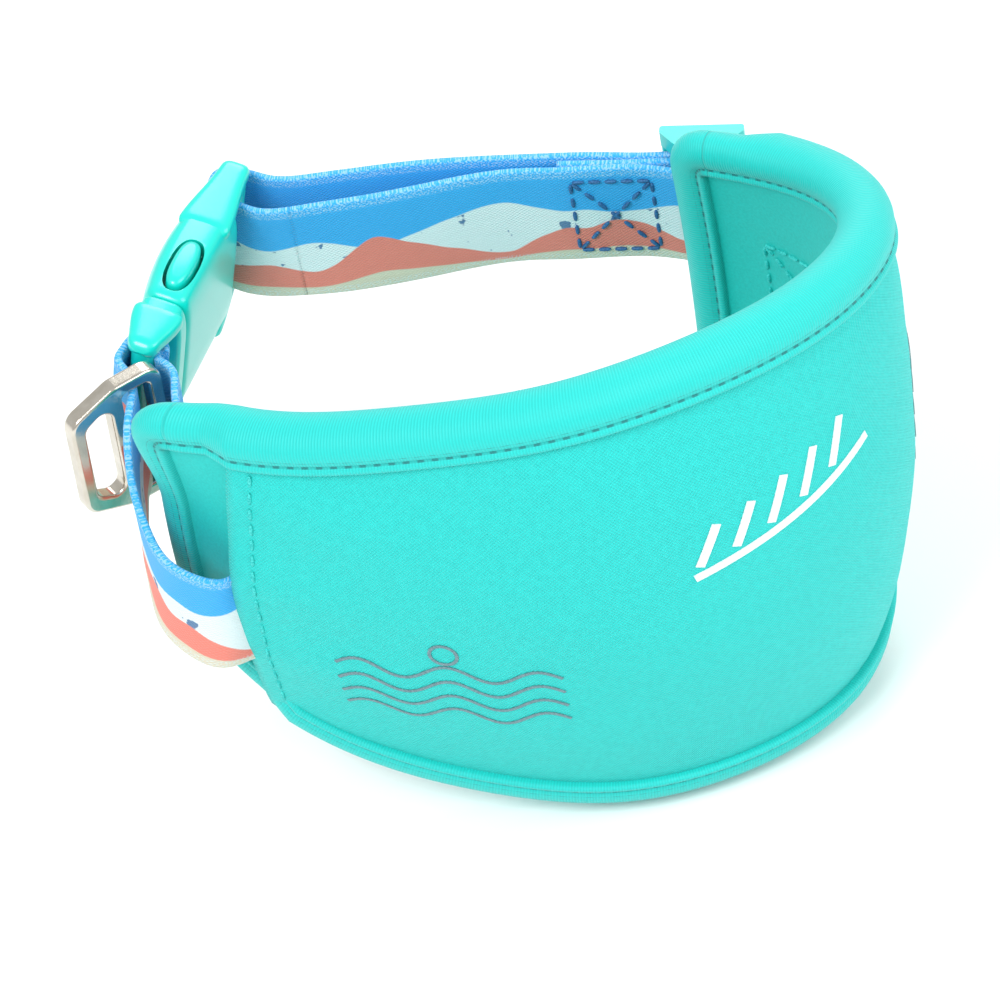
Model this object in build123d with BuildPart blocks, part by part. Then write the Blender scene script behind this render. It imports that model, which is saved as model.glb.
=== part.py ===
from build123d import *
import os
from math import cos, pi, radians, sin

os.makedirs("parts", exist_ok=True)

# ---------------------------------------------------------------------------
# A wide padded collar with a running strap, in millimetres.
# +Z is the collar's axis. The neck line is the strap's centre line seen along
# that axis. s runs along the neck line from the middle of the front panel,
# negative towards the leash ring. c is the distance outwards from the neck
# line and h the height above the buckle's centre line.
# ---------------------------------------------------------------------------

# Driving dimensions
STRAP_LEVEL = 59.802            # height of the buckle's centre line above the panel's lowest edge
CENTRE_X = -1.89              # middle of the whole collar, in the neck line's own coordinates
CENTRE_Y = 1.065
WEBBING = 20.0                # strap width
WEBBING_T = 1.3               # strap thickness
CLEAR = 0.3                   # gap between pieces that move against each other

# Neck line: ten points of the oval, from the pad's left end to its right end
NECK_POINTS = [
    (-55.3, -17.6),
    (-40.0, -29.4),
    (-11.5, -38.9),
    (12.1, -42.2),
    (36.2, -36.2),
    (55.1, -20.3),
    (61.1, 2.4),
    (53.1, 21.5),
    (42.4, 30.5),
    (29.1, 36.1),
]
NECK_END_HEADINGS = (-50.7, 164.7)

# Padded panel
TOP_END = 24.4                # panel height above the buckle line at its ends
TOP_MIDDLE = 39.1
BOTTOM_END = 26.7
BOTTOM_MIDDLE = 59.7
BOTTOM_POWER = 3.2            # how square the lower outline is
BULGE = 0.005                 # curvature of the panel across its width, per mm
BULGE_LEVEL = -4.0            # height where the panel bulges furthest out
LEAN = 0.028                  # outward lean at the middle of the panel, mm per mm
PAD_IN = -4.4                 # foam pad, inner face
PAD_OUT = -1.3                # foam pad, outer face
PAD_THINNING = 0.6            # the pad is this much thinner at its ends
LINING_T = 0.5
LAYER_GAP = 0.25              # glue and stitching room between two layers
COVER_EDGE = -0.8             # cover panel, inner face at its upper and lower edges
COVER_MIDDLE = 1.6            # and over the strap tunnel
COVER_T = 1.2
SEAM = 79.0                   # the cover panel's two seams, where the strap comes out
FILM_T = 0.25                 # reflective print
BINDING_W = 7.2
BINDING_T = 0.7
HEM_GAP = 0.35                # between the binding's hem and the panel's faces
BINDING_NOSE = 3.0            # height of the binding's rounded nose
EDGE_GAP = 4.0                # pad edge to binding edge

# Strap inside the tunnel
TUNNEL_C = -0.15
TUNNEL_LOW = -15.0            # height of the strap's middle at the left seam
TUNNEL_HIGH = -4.0            # and at the right seam

# Side-release buckle
BUCKLE_AT = (-51.5, 24.0)
BUCKLE_HEADING = 70.0
BUCKLE_ROLL = 12.0            # its upper edge leans in towards the neck by this angle
BUCKLE_W = 27.0
BUCKLE_T = 8.4
BODY_FRONT = -9.6             # mouth of the female half
BODY_REAR = 12.4
FEMALE_BAR = 20.0
MALE_SLOT = -15.3             # strap slot of the male half, inner end
MALE_FACE = -9.8
MALE_BAR_END = -20.5
BAR_T = 4.4
WALL = 2.0
WINDOW = (-7.9, 3.7)          # side windows for the buttons
PRONG_HINGE = (8.0, 5.5)
BUTTON = (-6.8, 2.9)
BUTTON_T = 3.8

# Slider
SLIDER_BASE = (40.0, 39.9)
SLIDER_HEADING = 175.5
SLIDER_START = 1.0            # from the end of the lead to the slider
SLIDER_L = 13.5
SLIDER_BAR = 2.5
SLIDER_T = 1.4
SLIDER_TRAVEL = 6.0

# Leash ring
RING_PIVOT = (-57.6, -1.8)
RING_HEADING = 214.6
RING_W = 3.0                  # section across the ring's plane
RING_BAR = 2.4                # section in the ring's plane
RING_SLOT = 5.0               # gap between the two straight bars
RING_HALF_H = 11.75           # half height to the middle of the section
RING_TIP_H = 8.6
RING_REACH = 11.0             # pivot to the middle of the outer side

HALF_WEB = WEBBING / 2
LINING_OUT = PAD_IN - LAYER_GAP
LINING_IN = LINING_OUT - LINING_T
CROSS_BAR = RING_SLOT / 2 + RING_BAR / 2


# ---------------------------------------------------------------------------
# Geometry helpers
# ---------------------------------------------------------------------------
def heading(angle):
    """Unit vector in the collar's plane at this angle from +X."""
    return (cos(radians(angle)), sin(radians(angle)))


def level(h):
    """Plane across the collar at height h above the buckle line."""
    return Plane(origin=(-CENTRE_X, -CENTRE_Y, STRAP_LEVEL + h))


neck_line = Spline(*NECK_POINTS, tangents=[heading(a) for a in NECK_END_HEADINGS])
HALF_PANEL = neck_line.length / 2


def neck_frame(s):
    """Point, direction of travel and outward normal of the neck line at s."""
    distance = s + HALF_PANEL
    point = neck_line.position_at(distance, position_mode=PositionMode.LENGTH)
    along = neck_line.tangent_at(distance, position_mode=PositionMode.LENGTH)
    return point, along, Vector(along.Y, -along.X)


def neck_point(s, c):
    """Plan point at s and c."""
    point, _, outward = neck_frame(s)
    return (point.X + outward.X * c, point.Y + outward.Y * c)


def station(s):
    """Plane square to the neck line at s: local x is outwards, local y is up."""
    point, along, outward = neck_frame(s)
    origin = (point.X - CENTRE_X, point.Y - CENTRE_Y, STRAP_LEVEL)
    return Plane(origin=origin, x_dir=(outward.X, outward.Y, 0), z_dir=(-along.X, -along.Y, 0))


def half_wave(s):
    """1 at the middle of the panel and 0 at its ends."""
    return 0.5 + 0.5 * cos(pi * min(abs(s) / HALF_PANEL, 1))


def top_of(s):
    return TOP_END + (TOP_MIDDLE - TOP_END) * half_wave(s)


def bottom_of(s):
    reach = min(abs(s) / HALF_PANEL, 1)
    return -BOTTOM_END - (BOTTOM_MIDDLE - BOTTOM_END) * (1 - reach**BOTTOM_POWER)


def skin(s, c, h):
    """Local point of a layer c outside the neck line, on the bulging panel."""
    bulge = BULGE / 2 * ((h - BULGE_LEVEL) ** 2 - BULGE_LEVEL**2)
    return (c + LEAN * half_wave(s) * h - bulge, h)


def end_ramp(s):
    """0 inside the cover panel's seams and 1 near the pad's ends."""
    return min(max((abs(s) - SEAM - 1) / 5, 0), 1)


def pad_outer(s):
    return PAD_OUT - PAD_THINNING * min(max((abs(s) - SEAM) / 12, 0), 1)


def layer_section(s, inner, outer, top, bottom):
    """Section of one layer. inner and outer are (edge, middle) offsets."""
    middle = (top + bottom) / 2
    with BuildSketch(station(s)) as section:
        with BuildLine():
            inside = ThreePointArc(
                skin(s, inner[0], top), skin(s, inner[1], middle), skin(s, inner[0], bottom)
            )
            outside = ThreePointArc(
                skin(s, outer[0], top), skin(s, outer[1], middle), skin(s, outer[0], bottom)
            )
            Line(inside @ 0, outside @ 0)
            Line(inside @ 1, outside @ 1)
        make_face()
    return section.sketch


def panel_stations(last):
    """Stations from -last to last, closer together where the outline turns."""
    half = [s for s in (20, 40, 58, 70, 79, 86, 92) if s < last - 2] + [last]
    return [-s for s in half[::-1]] + [0] + half


def layer_sections(last, inner, outer):
    """Sections of one layer. inner and outer give its offsets at s."""
    return [
        layer_section(s, inner(s), outer(s), top_of(s) - EDGE_GAP, bottom_of(s) + EDGE_GAP)
        for s in panel_stations(last)
    ]


def binding_section(s, side):
    """U of tape folded over the panel's upper (side 1) or lower (side -1) edge."""
    edge = top_of(s) if side > 0 else bottom_of(s)
    nose = edge - side * BINDING_NOSE
    hem = edge - side * BINDING_W
    inside = LINING_IN - HEM_GAP
    covered = COVER_EDGE + COVER_T + 2 * HEM_GAP
    outside = covered + (pad_outer(s) + HEM_GAP - covered) * end_ramp(s)
    crest = (inside + outside) / 2
    with BuildSketch(station(s)) as section:
        with BuildLine():
            Line(skin(s, outside + BINDING_T, hem), skin(s, outside + BINDING_T, nose))
            ThreePointArc(
                skin(s, outside + BINDING_T, nose),
                skin(s, crest, edge),
                skin(s, inside - BINDING_T, nose),
            )
            Line(skin(s, inside - BINDING_T, nose), skin(s, inside - BINDING_T, hem))
            Line(skin(s, inside - BINDING_T, hem), skin(s, inside, hem))
            Line(skin(s, inside, hem), skin(s, inside, nose))
            ThreePointArc(
                skin(s, inside, nose),
                skin(s, crest, edge - side * BINDING_T),
                skin(s, outside, nose),
            )
            Line(skin(s, outside, nose), skin(s, outside, hem))
            Line(skin(s, outside, hem), skin(s, outside + BINDING_T, hem))
        make_face()
    return section.sketch


def end_binding_section(end, h):
    """The same U round the pad's end, cut at height h. end is -1 or 1."""
    tip = end * HALF_PANEL
    nose = tip - end * BINDING_NOSE
    hem = tip - end * BINDING_W
    inside = LINING_IN - HEM_GAP
    outside = pad_outer(tip) + HEM_GAP
    crest = (inside + outside) / 2

    def at(s, c):
        return neck_point(s, skin(s, c, h)[0])

    with BuildSketch(level(h)) as section:
        with BuildLine():
            Line(at(hem, outside + BINDING_T), at(nose, outside + BINDING_T))
            ThreePointArc(at(nose, outside + BINDING_T), at(tip, crest), at(nose, inside - BINDING_T))
            Line(at(nose, inside - BINDING_T), at(hem, inside - BINDING_T))
            Line(at(hem, inside - BINDING_T), at(hem, inside))
            Line(at(hem, inside), at(nose, inside))
            ThreePointArc(at(nose, inside), at(tip - end * BINDING_T, crest), at(nose, outside))
            Line(at(nose, outside), at(hem, outside))
            Line(at(hem, outside), at(hem, outside + BINDING_T))
        make_face()
    return section.sketch


def tunnel_height(s):
    """Height of the strap's middle inside the tunnel."""
    return TUNNEL_LOW + (TUNNEL_HIGH - TUNNEL_LOW) * (s + SEAM) / (2 * SEAM)


def tunnel_section(s):
    """Section of the strap where it lies on the pad."""
    middle = tunnel_height(s)
    near = TUNNEL_C - WEBBING_T / 2
    far = TUNNEL_C + WEBBING_T / 2
    with BuildSketch(station(s)) as section:
        with BuildLine():
            Polyline(
                skin(s, near, middle - HALF_WEB),
                skin(s, far, middle - HALF_WEB),
                skin(s, far, middle + HALF_WEB),
                skin(s, near, middle + HALF_WEB),
                close=True,
            )
        make_face()
    return section.sketch


def free_section(route, t, tilt):
    """Section of a free strap at fraction t of its route, leaning out at the top by tilt."""
    point = route @ t
    along = route % t
    across = Vector(along.X, along.Y, 0).normalized()
    origin = (point.X - CENTRE_X, point.Y - CENTRE_Y, STRAP_LEVEL + point.Z)
    plane = Plane(origin=origin, x_dir=(across.Y, -across.X, 0), z_dir=(-across.X, -across.Y, 0))
    with BuildSketch(plane) as section:
        with Locations(Rotation(0, 0, -tilt)):
            Rectangle(WEBBING_T, WEBBING)
    return section.sketch


def ribbon(route, steps, tilt):
    """Strap lofted along a route. tilt gives its lean at fraction t."""
    return [free_section(route, i / steps, tilt(i / steps)) for i in range(steps + 1)]


def ramp(t, start, end):
    """0 before start, 1 after end, smooth between."""
    u = min(max((t - start) / (end - start), 0), 1)
    return u * u * (3 - 2 * u)


def flat_frame(at, angle, roll=0.0):
    """Plane standing on the collar's plane: x along the heading, y up, rolled about x."""
    along = heading(angle)
    origin = (at[0] - CENTRE_X, at[1] - CENTRE_Y, STRAP_LEVEL)
    side, drop = cos(radians(roll)), -sin(radians(roll))
    normal = (along[1] * side, -along[0] * side, drop)
    return Plane(origin=origin, x_dir=(along[0], along[1], 0), z_dir=normal)


def slider_point(along, outwards):
    u = heading(SLIDER_HEADING)
    x = SLIDER_BASE[0] + u[0] * along + u[1] * outwards
    return (x, SLIDER_BASE[1] + u[1] * along - u[0] * outwards)


# ---------------------------------------------------------------------------
# Padded panel
# ---------------------------------------------------------------------------
with BuildPart() as neck_pad:
    loft(
        sections=layer_sections(
            HALF_PANEL - EDGE_GAP,
            lambda s: (PAD_IN, PAD_IN),
            lambda s: (pad_outer(s), pad_outer(s)),
        )
    )

with BuildPart() as pad_lining:
    loft(
        sections=layer_sections(
            HALF_PANEL - EDGE_GAP,
            lambda s: (LINING_IN, LINING_IN),
            lambda s: (LINING_OUT, LINING_OUT),
        )
    )

with BuildPart() as cover_panel:
    loft(
        sections=layer_sections(
            SEAM,
            lambda s: (COVER_EDGE, COVER_MIDDLE),
            lambda s: (COVER_EDGE + COVER_T, COVER_MIDDLE + COVER_T),
        )
    )

binding_stations = panel_stations(HALF_PANEL)

with BuildPart() as binding_top:
    loft(sections=[binding_section(s, 1) for s in binding_stations])

with BuildPart() as binding_bottom:
    loft(sections=[binding_section(s, -1) for s in binding_stations])

END_TOP = TOP_END - BINDING_W - 0.2
END_BOTTOM = -BOTTOM_END + BINDING_W + 0.2
END_MIDDLE = (END_TOP + END_BOTTOM) / 2

with BuildPart() as binding_left_end:
    loft(sections=[end_binding_section(-1, h) for h in (END_BOTTOM, END_MIDDLE, END_TOP)])

with BuildPart() as binding_right_end:
    loft(sections=[end_binding_section(1, h) for h in (END_BOTTOM, END_MIDDLE, END_TOP)])

# ---------------------------------------------------------------------------
# Strap: one length of webbing in stretches that meet face to face
# ---------------------------------------------------------------------------
with BuildPart() as strap_tunnel_run:
    loft(sections=[tunnel_section(s) for s in panel_stations(SEAM)])

# Free bow beside the pad's left end, from the left seam to the leash ring
left_along = neck_frame(-SEAM)[1]
BOW_ROUTE = [
    (*neck_point(-SEAM - 0.3, 0.1), TUNNEL_LOW),
    (-45.2, -30.6, -14.3),
    (-50.0, -30.2, -12.6),
    (-54.0, -27.2, -10.2),
    (-56.4, -22.2, -7.2),
    (-57.6, -17.0, -4.2),
    (-58.0, -12.0, -1.6),
    (-57.9, -7.6, 0.0),
]
bow_line = Spline(*BOW_ROUTE, tangents=[(-left_along.X, -left_along.Y, 0), (0.05, 1, 0)])
BOW_STEPS = 10
BOW_TILT = 5.0

with BuildPart() as strap_bow:
    loft(sections=ribbon(bow_line, BOW_STEPS, lambda t: -BOW_TILT * (1 - t)))

# Loop from the leash ring round the male buckle bar and back
buckle = flat_frame(BUCKLE_AT, BUCKLE_HEADING, BUCKLE_ROLL)
buckle_across = Plane(buckle.origin, x_dir=buckle.x_dir, z_dir=buckle.y_dir)
LOOP_R = BAR_T / 2 + 0.25 + WEBBING_T / 2
LOOP_CENTRE = MALE_SLOT - BAR_T / 2


def buckle_point(along, outwards):
    """Point on the buckle's middle plane, in the neck line's coordinates."""
    point = buckle_across.from_local_coords((along, outwards, 0))
    return (point.X + CENTRE_X, point.Y + CENTRE_Y, point.Z - STRAP_LEVEL)


outer_line = Spline(
    BOW_ROUTE[-1],
    (*RING_PIVOT, 0.0),
    (-58.9, 1.6, 0.1),
    buckle_point(MALE_BAR_END - 0.4, LOOP_R),
    buckle_point(LOOP_CENTRE - 0.3, LOOP_R + 0.1),
    tangents=[(0.05, 1, 0), (*heading(BUCKLE_HEADING), 0)],
)

with BuildPart() as strap_male_outer:
    loft(sections=ribbon(outer_line, 10, lambda t: BUCKLE_ROLL * ramp(t, 0.5, 1)))

with BuildPart() as strap_male_loop:
    with BuildSketch(buckle_across.offset(-HALF_WEB)):
        with BuildLine():
            ThreePointArc((LOOP_CENTRE, LOOP_R), (LOOP_CENTRE + LOOP_R, 0), (LOOP_CENTRE, -LOOP_R))
        trace(line_width=WEBBING_T)
    extrude(amount=WEBBING)

TACK_C = LINING_IN - HEM_GAP - BINDING_T - WEBBING_T / 2 - 0.35
TACK_L = 11.0
tack_along = neck_frame(TACK_L - HALF_PANEL)[1]
inner_line = Spline(
    buckle_point(LOOP_CENTRE - 0.3, -LOOP_R),
    (-51.9, 2.6, -0.3),
    (-50.8, -2.4, 0.0),
    (-50.2, -7.6, 0.0),
    (*neck_point(0.5 - HALF_PANEL, TACK_C - 0.9), 0.0),
    (*neck_point(4.0 - HALF_PANEL, TACK_C - 0.5), 0.0),
    (*neck_point(7.5 - HALF_PANEL, TACK_C - 0.2), 0.0),
    (*neck_point(TACK_L - HALF_PANEL, TACK_C), 0.0),
    tangents=[(*heading(BUCKLE_HEADING + 180), 0), (tack_along.X, tack_along.Y, 0)],
)

with BuildPart() as strap_male_inner:
    loft(sections=ribbon(inner_line, 14, lambda t: BUCKLE_ROLL * (ramp(t, 0, 0.16) - 1)))

# Lead from the right seam up to the slider, sewn to the pad inside the seam
right_along = neck_frame(SEAM)[1]
LEAD_ROUTE = [
    (*neck_point(SEAM + 0.3, 0.1), TUNNEL_HIGH),
    (44.6, 31.6, -2.4),
    (43.2, 35.6, -1.0),
    (*SLIDER_BASE, 0.0),
]
slider_way = heading(SLIDER_HEADING)
lead_line = Spline(*LEAD_ROUTE, tangents=[(right_along.X, right_along.Y, 0), (*slider_way, 0)])
LEAD_STEPS = 6

with BuildPart() as strap_right_lead:
    loft(sections=ribbon(lead_line, LEAD_STEPS, lambda t: 0))

STRAIGHT = 36.0
OUTER_END = (-33.0, 43.9)
INNER_END = (-33.0, 36.9)

with BuildPart() as strap_back_outer:
    with BuildSketch(level(-HALF_WEB)):
        with BuildLine():
            straight = Line(SLIDER_BASE, slider_point(STRAIGHT, 0))
            Spline(straight @ 1, (-14.0, 43.6), OUTER_END, tangents=[slider_way, (-1, 0)])
        trace(line_width=WEBBING_T)
    extrude(amount=WEBBING)

with BuildPart() as strap_female_loop:
    with BuildSketch(buckle_across.offset(-HALF_WEB)):
        with BuildLine():
            Spline(
                (23.9, -10.0),
                (23.4, -4.0),
                (23.2, -0.2),
                (22.3, 2.3),
                (20.0, 3.3),
                (17.7, 2.3),
                (16.7, -0.4),
                (16.1, -5.0),
                (17.0, -10.4),
            )
        trace(line_width=WEBBING_T)
    extrude(amount=WEBBING)

# Inner layer back to the slider. Its end is wrapped round the slider's middle bar.
BAR_MIDDLE = SLIDER_START + SLIDER_L / 2
WRAP_X = BAR_MIDDLE - SLIDER_BAR / 2 + SLIDER_T / 2
BAR_LOW = -3.75
BAR_HIGH = BAR_LOW + SLIDER_T
WRAP_R = SLIDER_T / 2 + 0.25 + WEBBING_T / 2
WRAP_C = (BAR_LOW + BAR_HIGH) / 2
SEWN_END = 31.0               # distance along the slider's axis to the end of the sewn loop
SEWN_FROM = SEWN_END - 15     # the two layers lie together from here
NEAR_LAYER = -1.75
FAR_LAYER = NEAR_LAYER - WEBBING_T - 0.15
INNER_START = SEWN_END + SLIDER_TRAVEL + 0.4

with BuildPart() as strap_back_inner:
    with BuildSketch(level(-HALF_WEB)):
        with BuildLine():
            Spline(
                INNER_END,
                (-14.0, 38.0),
                slider_point(INNER_START, FAR_LAYER),
                tangents=[(1, 0.08), (-slider_way[0], -slider_way[1])],
            )
        trace(line_width=WEBBING_T)
    extrude(amount=WEBBING)

with BuildPart() as strap_sewn_end:
    with BuildSketch(level(-HALF_WEB)):
        with BuildLine():
            near = Line(slider_point(SEWN_END, NEAR_LAYER), slider_point(SEWN_FROM, NEAR_LAYER))
            near_bend = Spline(
                near @ 1,
                slider_point(WRAP_X, WRAP_C + WRAP_R),
                tangents=[(-slider_way[0], -slider_way[1]), (-slider_way[0], -slider_way[1])],
            )
            wrap = ThreePointArc(
                near_bend @ 1,
                slider_point(WRAP_X - WRAP_R, WRAP_C),
                slider_point(WRAP_X, WRAP_C - WRAP_R),
            )
            far_bend = Spline(
                wrap @ 1,
                slider_point(SEWN_FROM, FAR_LAYER),
                tangents=[slider_way, slider_way],
            )
            Line(far_bend @ 1, slider_point(SEWN_END, FAR_LAYER))
        trace(line_width=WEBBING_T)
    extrude(amount=WEBBING)

# ---------------------------------------------------------------------------
# Side-release buckle
# ---------------------------------------------------------------------------
CHEEK_W = (BUCKLE_W - WEBBING) / 2 - 0.5
CHEEK_AT = (BUCKLE_W - CHEEK_W) / 2
MALE_BAR = (MALE_SLOT + MALE_BAR_END) / 2
CAVITY_W = BUCKLE_W - 2 * 3.6
CAVITY_T = BUCKLE_T - 2 * WALL

with BuildPart() as buckle_female:
    with BuildSketch(buckle.offset(-BUCKLE_T / 2)):
        with Locations(((BODY_FRONT + BODY_REAR) / 2, 0)):
            RectangleRounded(BODY_REAR - BODY_FRONT, BUCKLE_W, 2.0)
    extrude(amount=BUCKLE_T)
    fillet(buckle_female.edges().group_by(Axis(buckle.origin, buckle.z_dir))[0], 1.8)
    fillet(buckle_female.edges().group_by(Axis(buckle.origin, buckle.z_dir))[-1], 1.8)
    # two cheeks and the strap bar at the rear
    for side in (-1, 1):
        with BuildSketch(buckle.offset(-BAR_T / 2)):
            with Locations(((BODY_REAR - 3 + FEMALE_BAR) / 2, side * CHEEK_AT)):
                Rectangle(FEMALE_BAR - BODY_REAR + 3, CHEEK_W)
        extrude(amount=BAR_T)
    with BuildSketch(buckle_across.offset(-BUCKLE_W / 2)):
        with Locations((FEMALE_BAR, 0)):
            RectangleRounded(BAR_T, BAR_T, BAR_T / 2 - 0.1)
    extrude(amount=BUCKLE_W)
    # room for the male half's tongue and prongs
    with BuildSketch(buckle.offset(-CAVITY_T / 2)):
        with Locations(((BODY_FRONT - 1 + 11.0) / 2, 0)):
            Rectangle(11.0 - BODY_FRONT + 1, CAVITY_W)
    extrude(amount=CAVITY_T, mode=Mode.SUBTRACT)
    # side windows for the two buttons
    with BuildSketch(buckle.offset(-BUTTON_T / 2 - CLEAR)):
        with Locations(((WINDOW[0] + WINDOW[1]) / 2, 0)):
            Rectangle(WINDOW[1] - WINDOW[0], BUCKLE_W + 4)
    extrude(amount=BUTTON_T + 2 * CLEAR, mode=Mode.SUBTRACT)

TONGUE_T = 2.6

with BuildPart() as buckle_male:
    with BuildSketch(buckle.offset(-BUCKLE_T / 2)):
        with Locations(((MALE_FACE - 12.2) / 2, 0)):
            RectangleRounded(12.2 + MALE_FACE, BUCKLE_W, 1.0)
    extrude(amount=BUCKLE_T)
    # two cheeks and the rounded rear bar
    for side in (-1, 1):
        with BuildSketch(buckle.offset(-BAR_T / 2)):
            with Locations(((MALE_BAR + MALE_FACE - 1) / 2, side * CHEEK_AT)):
                Rectangle(MALE_FACE - 1 - MALE_BAR, CHEEK_W)
        extrude(amount=BAR_T)
    with BuildSketch(buckle_across.offset(-BUCKLE_W / 2)):
        with Locations((MALE_BAR, 0)):
            RectangleRounded(MALE_SLOT - MALE_BAR_END, BAR_T, BAR_T / 2 - 0.1)
    extrude(amount=BUCKLE_W)
    # tongue with a root for each prong
    with BuildSketch(buckle.offset(-TONGUE_T / 2)):
        with Locations(((MALE_FACE - 0.5 + 9.5) / 2, 0)):
            Rectangle(9.5 - MALE_FACE + 0.5, 5.6)
        with Locations((8.6, 0)):
            Rectangle(1.8, 2 * PRONG_HINGE[1] - 3.8)
    extrude(amount=TONGUE_T)


def prong_sketch(side):
    """Arm from the hinge back to the button, for the upper (1) or lower (-1) edge."""
    hinge = (PRONG_HINGE[0], side * PRONG_HINGE[1])
    with BuildSketch(buckle.offset(-BUTTON_T / 2)) as outline:
        with BuildLine():
            Polyline(
                (hinge[0] + 1.2, side * 4.2),
                (hinge[0] + 1.2, side * 7.0),
                (BUTTON[1], side * 9.6),
                (BUTTON[1] - 0.5, side * 12.4),
                (BUTTON[1] - 2.6, side * 13.7),
                (BUTTON[0] + 2.2, side * 13.7),
                (BUTTON[0], side * 12.0),
                (BUTTON[0], side * 8.0),
                (BUTTON[0] + 2.5, side * 7.4),
                (1.0, side * 7.0),
                (hinge[0] - 1.6, side * 4.6),
                close=True,
            )
        make_face()
    return outline.sketch


with BuildPart() as prong_upper:
    extrude(prong_sketch(1), amount=BUTTON_T)

with BuildPart() as prong_lower:
    extrude(prong_sketch(-1), amount=BUTTON_T)

# ---------------------------------------------------------------------------
# Slider: two outer bars, and a middle bar set inwards, on two curved cheeks
# ---------------------------------------------------------------------------
slider = flat_frame(SLIDER_BASE, SLIDER_HEADING)
RAIL_W = 3.0
RAIL_IN = WEBBING / 2 + 0.4
BAR_OUT = WEBBING_T / 2 + CLEAR


with BuildPart() as tri_glide:
    for side in (-1, 1):
        cheek = Plane(slider.origin, x_dir=slider.x_dir, z_dir=(0, 0, 1))
        with BuildSketch(cheek.offset(side * (RAIL_IN + RAIL_W / 2) - RAIL_W / 2)):
            with BuildLine():
                Polyline(
                    (SLIDER_START, -BAR_OUT - SLIDER_T),
                    (SLIDER_START, -BAR_OUT),
                    (BAR_MIDDLE - 2.4, -BAR_LOW),
                    (BAR_MIDDLE + 2.4, -BAR_LOW),
                    (SLIDER_START + SLIDER_L, -BAR_OUT),
                    (SLIDER_START + SLIDER_L, -BAR_OUT - SLIDER_T),
                    close=True,
                )
            make_face()
        extrude(amount=RAIL_W)
    fillet(tri_glide.edges().filter_by(Axis.Z), 0.5)
    bars = [
        (SLIDER_START + SLIDER_BAR / 2, BAR_OUT),
        (SLIDER_START + SLIDER_L - SLIDER_BAR / 2, BAR_OUT),
        (BAR_MIDDLE, BAR_LOW),
    ]
    for along, low in bars:
        across = Plane(slider.origin, x_dir=slider.x_dir, z_dir=(0, 0, 1)).offset(-RAIL_IN - 1)
        with BuildSketch(across):
            with Locations((along, -low - SLIDER_T / 2)):
                RectangleRounded(SLIDER_BAR, SLIDER_T, 0.6)
        extrude(amount=2 * RAIL_IN + 2)

# ---------------------------------------------------------------------------
# Leash ring: a cast D with a second straight bar that holds the strap
# ---------------------------------------------------------------------------
ring = flat_frame(RING_PIVOT, RING_HEADING)

with BuildPart() as d_ring:
    with BuildSketch(ring.offset(-RING_W / 2)):
        with BuildLine():
            FilletPolyline(
                (-CROSS_BAR - RING_BAR / 2, -RING_HALF_H - RING_BAR / 2),
                (CROSS_BAR, -RING_HALF_H - RING_BAR / 2),
                (RING_REACH + RING_BAR / 2, -RING_TIP_H - RING_BAR / 2),
                (RING_REACH + RING_BAR / 2, RING_TIP_H + RING_BAR / 2),
                (CROSS_BAR, RING_HALF_H + RING_BAR / 2),
                (-CROSS_BAR - RING_BAR / 2, RING_HALF_H + RING_BAR / 2),
                radius=3.0,
                close=True,
            )
        make_face()
        with Locations((0, 0)):
            RectangleRounded(RING_SLOT, 2 * RING_HALF_H - RING_BAR, 1.0, mode=Mode.SUBTRACT)
        with BuildLine():
            FilletPolyline(
                (CROSS_BAR + RING_BAR / 2, -RING_HALF_H + RING_BAR / 2 + 0.6),
                (RING_REACH - RING_BAR / 2, -RING_TIP_H + RING_BAR / 2),
                (RING_REACH - RING_BAR / 2, RING_TIP_H - RING_BAR / 2),
                (CROSS_BAR + RING_BAR / 2, RING_HALF_H - RING_BAR / 2 - 0.6),
                radius=1.8,
                close=True,
            )
        make_face(mode=Mode.SUBTRACT)
    extrude(amount=RING_W)
    fillet(d_ring.edges().filter_by(lambda e: e.length > 1.0), 0.6)


# ---------------------------------------------------------------------------
# Thread: each stitch is its own short bead
# ---------------------------------------------------------------------------
STITCH_L = 2.6
STITCH_W = 0.6
STITCH_T = 0.5


def even_points(start, end, count):
    """count points spread between two (s, h) places, half a step in from each."""
    steps = [(i + 0.5) / count for i in range(count)]
    return [(start[0] + (end[0] - start[0]) * t, start[1] + (end[1] - start[1]) * t) for t in steps]


def stitch(s, h, c, along_s, along_h):
    """Bead lying on layer c at s and h, running along (along_s, along_h)."""
    plane = station(s)
    out, up = skin(s, c + STITCH_T / 2, h)
    centre = plane.origin + plane.x_dir * out + plane.y_dir * up
    tangent = plane.z_dir * -along_s + plane.y_dir * along_h
    bead = Plane(origin=centre, x_dir=tangent, z_dir=plane.x_dir)
    return bead * Box(STITCH_L, STITCH_W, STITCH_T, mode=Mode.PRIVATE)


def stitch_rows(rows, c):
    """Beads of several straight rows, each (start, end, count)."""
    beads = []
    for start, end, count in rows:
        run = (end[0] - start[0], end[1] - start[1])
        size = (run[0] ** 2 + run[1] ** 2) ** 0.5
        for s, h in even_points(start, end, count):
            beads.append(stitch(s, h, c(s, h), run[0] / size, run[1] / size))
    return beads


def cover_face(s, h):
    """Outer face of the cover panel at s and h."""
    top = top_of(s) - EDGE_GAP
    bottom = bottom_of(s) + EDGE_GAP
    reach = (h - (top + bottom) / 2) / ((top - bottom) / 2)
    return COVER_MIDDLE + COVER_T + (COVER_EDGE - COVER_MIDDLE) * reach**2 + LAYER_GAP + 0.15


def lining_face(s, h):
    """Inner face of the lining, less the thickness of a bead."""
    return LINING_IN - STITCH_T - LAYER_GAP


SEAM_INSET = 4.0


def seam_rows(side):
    s = side * (SEAM - SEAM_INSET)
    return [((s, bottom_of(s) + 9), (s, top_of(s) - 9), 12)]


with BuildPart() as thread_seam_left:
    add(stitch_rows(seam_rows(-1), cover_face))

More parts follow.
